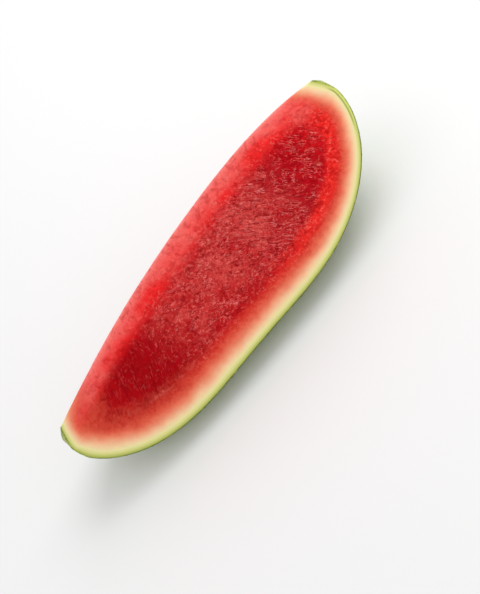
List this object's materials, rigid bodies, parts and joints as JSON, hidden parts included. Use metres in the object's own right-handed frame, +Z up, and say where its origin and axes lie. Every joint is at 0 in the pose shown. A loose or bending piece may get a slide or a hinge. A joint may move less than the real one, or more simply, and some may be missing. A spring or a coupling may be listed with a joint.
{
  "type": "watermelon wedge",
  "caption": "Lengthwise wedge of a small oblong watermelon: two cut faces that meet in a bowed ridge, on a curved green rind that it rests on.",
  "frame": {"origin": "under the middle of the wedge's length, on the surface that its rind rests on", "axes": "+X along the wedge's length, towards its fuller half; +Z up, from the rind to the ridge; +Y across, at right angles to the plane that halves the wedge"},
  "size_m": [0.2718, 0.0842, 0.0972],
  "materials": {
    "flesh_and_rind": null
  },
  "bodies": {
    "root": {"watermelon_wedge": "flesh_and_rind"}
  },
  "joints": []
}
